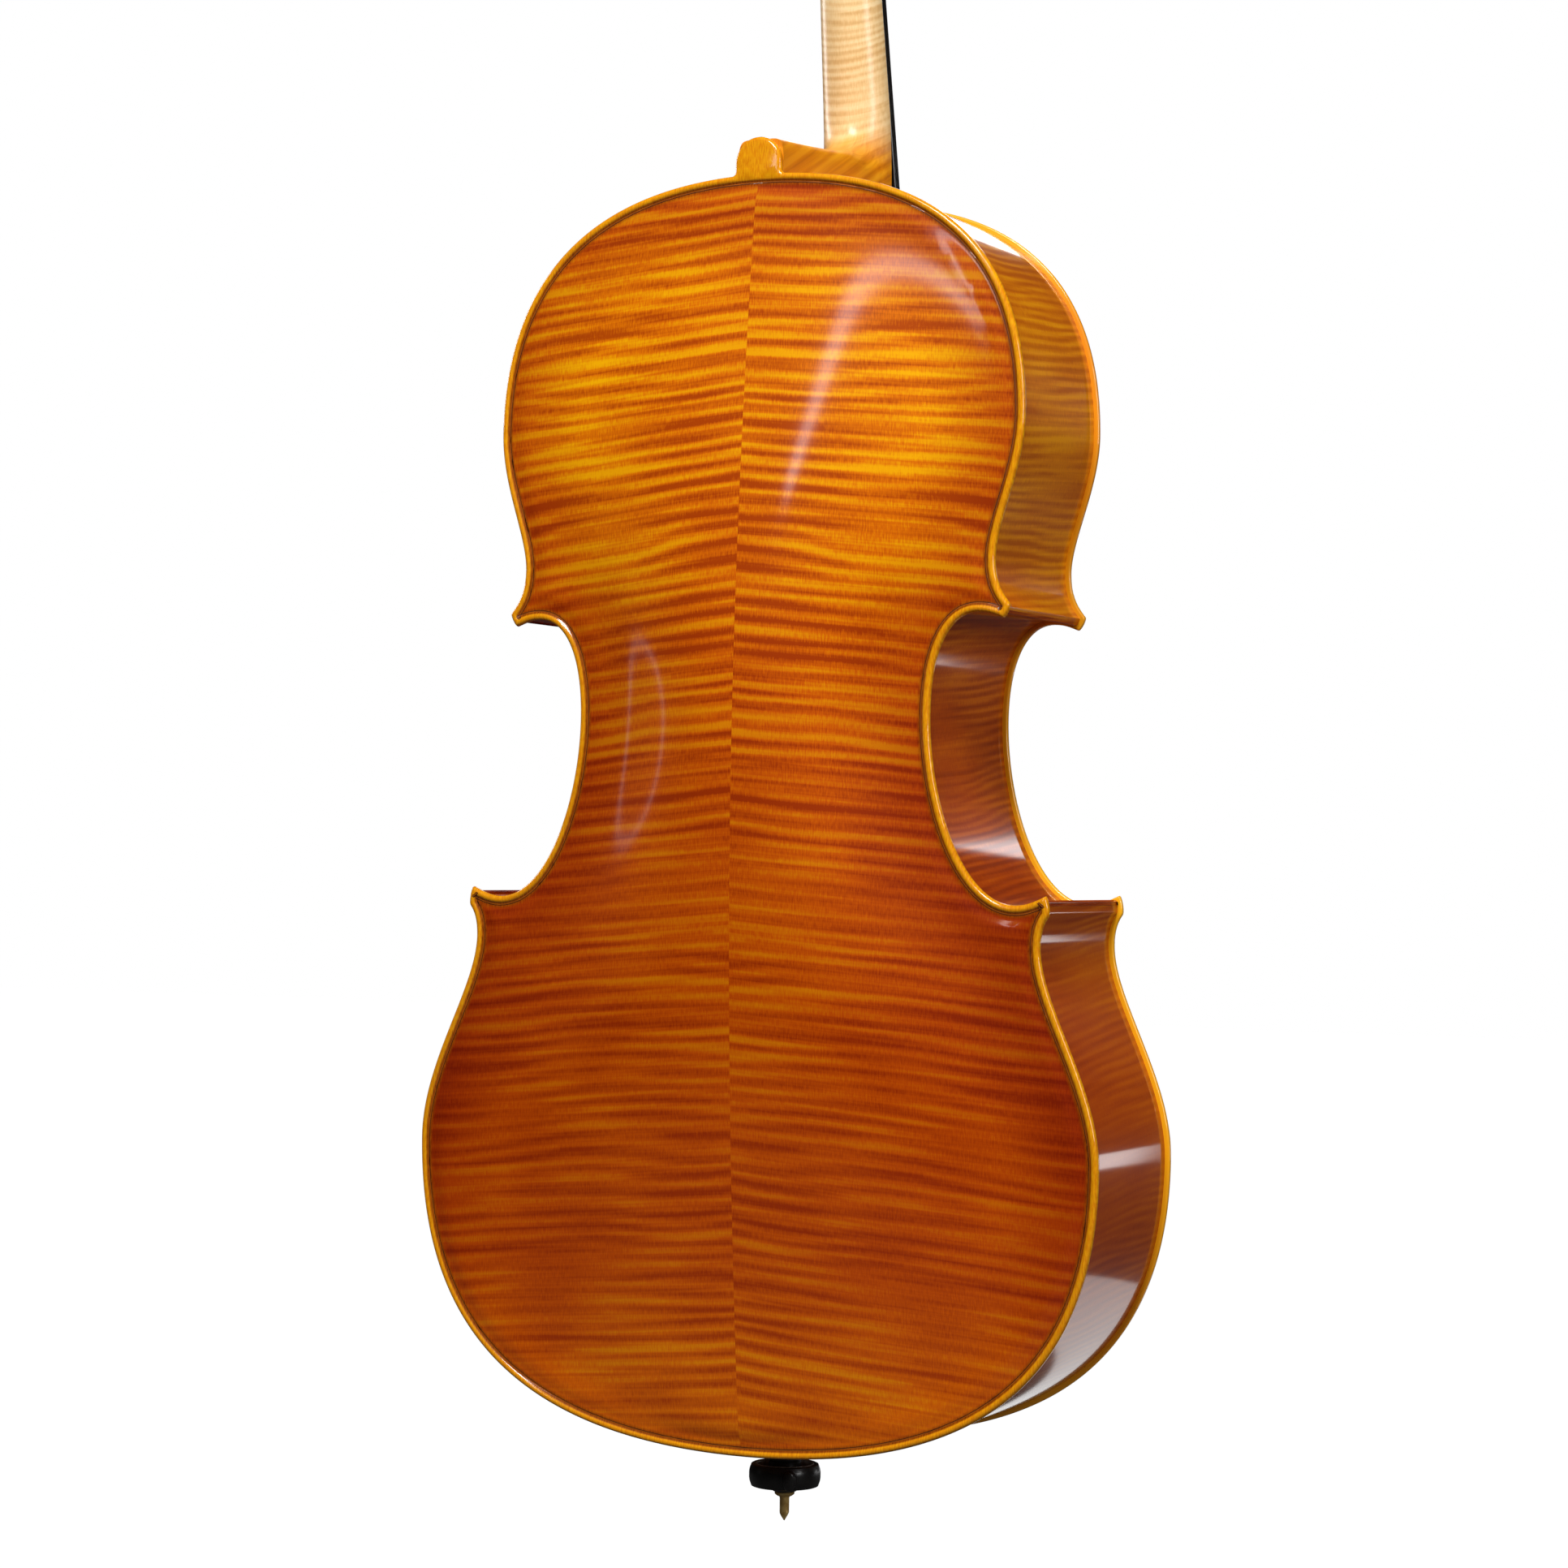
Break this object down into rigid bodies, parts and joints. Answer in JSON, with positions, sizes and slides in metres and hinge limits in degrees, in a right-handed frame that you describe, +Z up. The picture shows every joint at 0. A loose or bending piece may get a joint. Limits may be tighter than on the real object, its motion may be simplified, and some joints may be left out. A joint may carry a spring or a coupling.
{
  "type": "cello",
  "caption": "Full-size cello: arched maple and spruce body with flamed back, grafted neck and scroll, bridge, strings, tailpiece with fine tuners and a retracted endpin.",
  "frame": {"origin": "on the endpin's axis, at the lower end of the tip's round shank", "axes": "+Z up along the body and the endpin's axis, -Y out through the top and the strings, +X towards the A string's side"},
  "size_m": [0.443, 0.2587, 1.2762],
  "materials": {
    "back_maple": "glossy orange-gold varnish over flamed maple",
    "rib_maple": "glossy orange varnish over flamed maple",
    "top_spruce": "glossy golden varnish over straight-grained spruce",
    "purfling": "black and white inlay under varnish",
    "inner_spruce": "bare",
    "neck_maple": "oiled bare flamed maple",
    "head_maple": "glossy orange varnish",
    "ebony": "polished",
    "bridge_maple": "bare speckled maple",
    "string_steel": "flat wound",
    "string_silk": "silk thread winding",
    "tail_cord": "matte",
    "tuner_metal": "blackened",
    "endpin_black": "satin black",
    "rod_steel": "satin",
    "tip_brass": "aged"
  },
  "bodies": {
    "root": {"back_plate_treble": "back_maple", "back_plate_bass": "back_maple", "top_plate_treble": "top_spruce", "top_plate_bass": "top_spruce", "back_purfling": "purfling", "top_purfling": "purfling", "lower_rib_treble": "rib_maple", "lower_rib_bass": "rib_maple", "waist_rib_treble": "rib_maple", "waist_rib_bass": "rib_maple", "upper_rib_treble": "rib_maple", "upper_rib_bass": "rib_maple", "back_linings": "inner_spruce", "top_linings": "inner_spruce", "neck_block": "inner_spruce", "end_block": "inner_spruce", "lower_corner_blocks": "inner_spruce", "upper_corner_blocks": "inner_spruce", "bass_bar": "inner_spruce", "sound_post": "inner_spruce", "neck": "neck_maple", "pegbox_and_scroll": "head_maple", "fingerboard": "ebony", "nut": "ebony", "saddle": "ebony", "bridge": "bridge_maple", "tailpiece": "ebony", "tuner_pivot_pin": "tuner_metal", "tail_cord": "tail_cord", "string_a": "string_steel", "string_d": "string_steel", "string_g": "string_steel", "string_c": "string_steel", "endpin_plug": "endpin_black", "endpin_collar": "endpin_black"},
    "peg_a_body": {"peg_a": "ebony", "winding_a": "string_silk"},
    "tuner_lever_a_body": {"tuner_lever_a": "tuner_metal"},
    "tuner_screw_a_body": {"tuner_screw_a": "tuner_metal"},
    "tuner_knob_a_body": {"tuner_knob_a": "tuner_metal"},
    "peg_d_body": {"peg_d": "ebony", "winding_d": "string_silk"},
    "tuner_lever_d_body": {"tuner_lever_d": "tuner_metal"},
    "tuner_screw_d_body": {"tuner_screw_d": "tuner_metal"},
    "tuner_knob_d_body": {"tuner_knob_d": "tuner_metal"},
    "peg_g_body": {"peg_g": "ebony", "winding_g": "string_silk"},
    "tuner_lever_g_body": {"tuner_lever_g": "tuner_metal"},
    "tuner_screw_g_body": {"tuner_screw_g": "tuner_metal"},
    "tuner_knob_g_body": {"tuner_knob_g": "tuner_metal"},
    "peg_c_body": {"peg_c": "ebony", "winding_c": "string_silk"},
    "tuner_lever_c_body": {"tuner_lever_c": "tuner_metal"},
    "tuner_screw_c_body": {"tuner_screw_c": "tuner_metal"},
    "tuner_knob_c_body": {"tuner_knob_c": "tuner_metal"},
    "thumbscrew_body": {"endpin_thumbscrew": "endpin_black"},
    "endpin_body": {"endpin_rod": "rod_steel", "endpin_tip": "tip_brass"}
  },
  "joints": [
    {"name": "peg_a_turn", "type": "hinge", "parent": "root", "child": "peg_a_body", "pos_m": [0, -0.02096, 1.09874], "axis": [1, 0, 0], "continuous": true},
    {"name": "tuner_screw_a_travel", "type": "slide", "parent": "root", "child": "tuner_screw_a_body", "axis": [0, 0.9611, 0.2763], "range_m": [-0.0015, 0.0015]},
    {"name": "tuner_knob_a_turn", "type": "hinge", "parent": "tuner_screw_a_body", "child": "tuner_knob_a_body", "pos_m": [0.021, -0.12981, 0.24578], "axis": [0, 0.9611, 0.2763], "range_deg": [-1090, 1090]},
    {"name": "tuner_lever_a_tilt", "type": "hinge", "parent": "root", "child": "tuner_lever_a_body", "pos_m": [0.021, -0.13217, 0.26487], "axis": [1, 0, 0], "range_deg": [-4.7, 4.7], "deforming": ["string_a"]},
    {"name": "peg_d_turn", "type": "hinge", "parent": "root", "child": "peg_d_body", "pos_m": [0, 0.00176, 1.15857], "axis": [1, 0, 0], "continuous": true},
    {"name": "tuner_screw_d_travel", "type": "slide", "parent": "root", "child": "tuner_screw_d_body", "axis": [0, 0.9611, 0.2763], "range_m": [-0.0015, 0.0015]},
    {"name": "tuner_knob_d_turn", "type": "hinge", "parent": "tuner_screw_d_body", "child": "tuner_knob_d_body", "pos_m": [0.007, -0.12981, 0.24578], "axis": [0, 0.9611, 0.2763], "range_deg": [-1090, 1090]},
    {"name": "tuner_lever_d_tilt", "type": "hinge", "parent": "root", "child": "tuner_lever_d_body", "pos_m": [0.007, -0.13217, 0.26487], "axis": [1, 0, 0], "range_deg": [-4.7, 4.7], "deforming": ["string_d"]},
    {"name": "peg_g_turn", "type": "hinge", "parent": "root", "child": "peg_g_body", "pos_m": [0, 0.01171, 1.18475], "axis": [1, 0, 0], "continuous": true},
    {"name": "tuner_screw_g_travel", "type": "slide", "parent": "root", "child": "tuner_screw_g_body", "axis": [0, 0.9611, 0.2763], "range_m": [-0.0015, 0.0015]},
    {"name": "tuner_knob_g_turn", "type": "hinge", "parent": "tuner_screw_g_body", "child": "tuner_knob_g_body", "pos_m": [-0.007, -0.12981, 0.24578], "axis": [0, 0.9611, 0.2763], "range_deg": [-1090, 1090]},
    {"name": "tuner_lever_g_tilt", "type": "hinge", "parent": "root", "child": "tuner_lever_g_body", "pos_m": [-0.007, -0.13217, 0.26487], "axis": [1, 0, 0], "range_deg": [-4.7, 4.7], "deforming": ["string_g"]},
    {"name": "peg_c_turn", "type": "hinge", "parent": "root", "child": "peg_c_body", "pos_m": [0, -0.01102, 1.12492], "axis": [1, 0, 0], "continuous": true},
    {"name": "tuner_screw_c_travel", "type": "slide", "parent": "root", "child": "tuner_screw_c_body", "axis": [0, 0.9611, 0.2763], "range_m": [-0.0015, 0.0015]},
    {"name": "tuner_knob_c_turn", "type": "hinge", "parent": "tuner_screw_c_body", "child": "tuner_knob_c_body", "pos_m": [-0.021, -0.12981, 0.24578], "axis": [0, 0.9611, 0.2763], "range_deg": [-1090, 1090]},
    {"name": "tuner_lever_c_tilt", "type": "hinge", "parent": "root", "child": "tuner_lever_c_body", "pos_m": [-0.021, -0.13217, 0.26487], "axis": [1, 0, 0], "range_deg": [-4.7, 4.7], "deforming": ["string_c"]},
    {"name": "thumbscrew_turn", "type": "hinge", "parent": "root", "child": "thumbscrew_body", "pos_m": [0, 0, 0.022], "axis": [-0.5299, 0.848, 0], "range_deg": [0, 360]},
    {"name": "endpin_slide", "type": "slide", "parent": "root", "child": "endpin_body", "axis": [0, 0, -1], "range_m": [0, 0.35]}
  ],
  "couplings": [
    {"joint": "tuner_knob_a_turn", "follows": "tuner_screw_a_travel", "rad_per_m": 12566},
    {"joint": "tuner_lever_a_tilt", "follows": "tuner_screw_a_travel", "rad_per_m": 52.632},
    {"joint": "tuner_knob_d_turn", "follows": "tuner_screw_d_travel", "rad_per_m": 12566},
    {"joint": "tuner_lever_d_tilt", "follows": "tuner_screw_d_travel", "rad_per_m": 52.632},
    {"joint": "tuner_knob_g_turn", "follows": "tuner_screw_g_travel", "rad_per_m": 12566},
    {"joint": "tuner_lever_g_tilt", "follows": "tuner_screw_g_travel", "rad_per_m": 52.632},
    {"joint": "tuner_knob_c_turn", "follows": "tuner_screw_c_travel", "rad_per_m": 12566},
    {"joint": "tuner_lever_c_tilt", "follows": "tuner_screw_c_travel", "rad_per_m": 52.632}
  ]
}
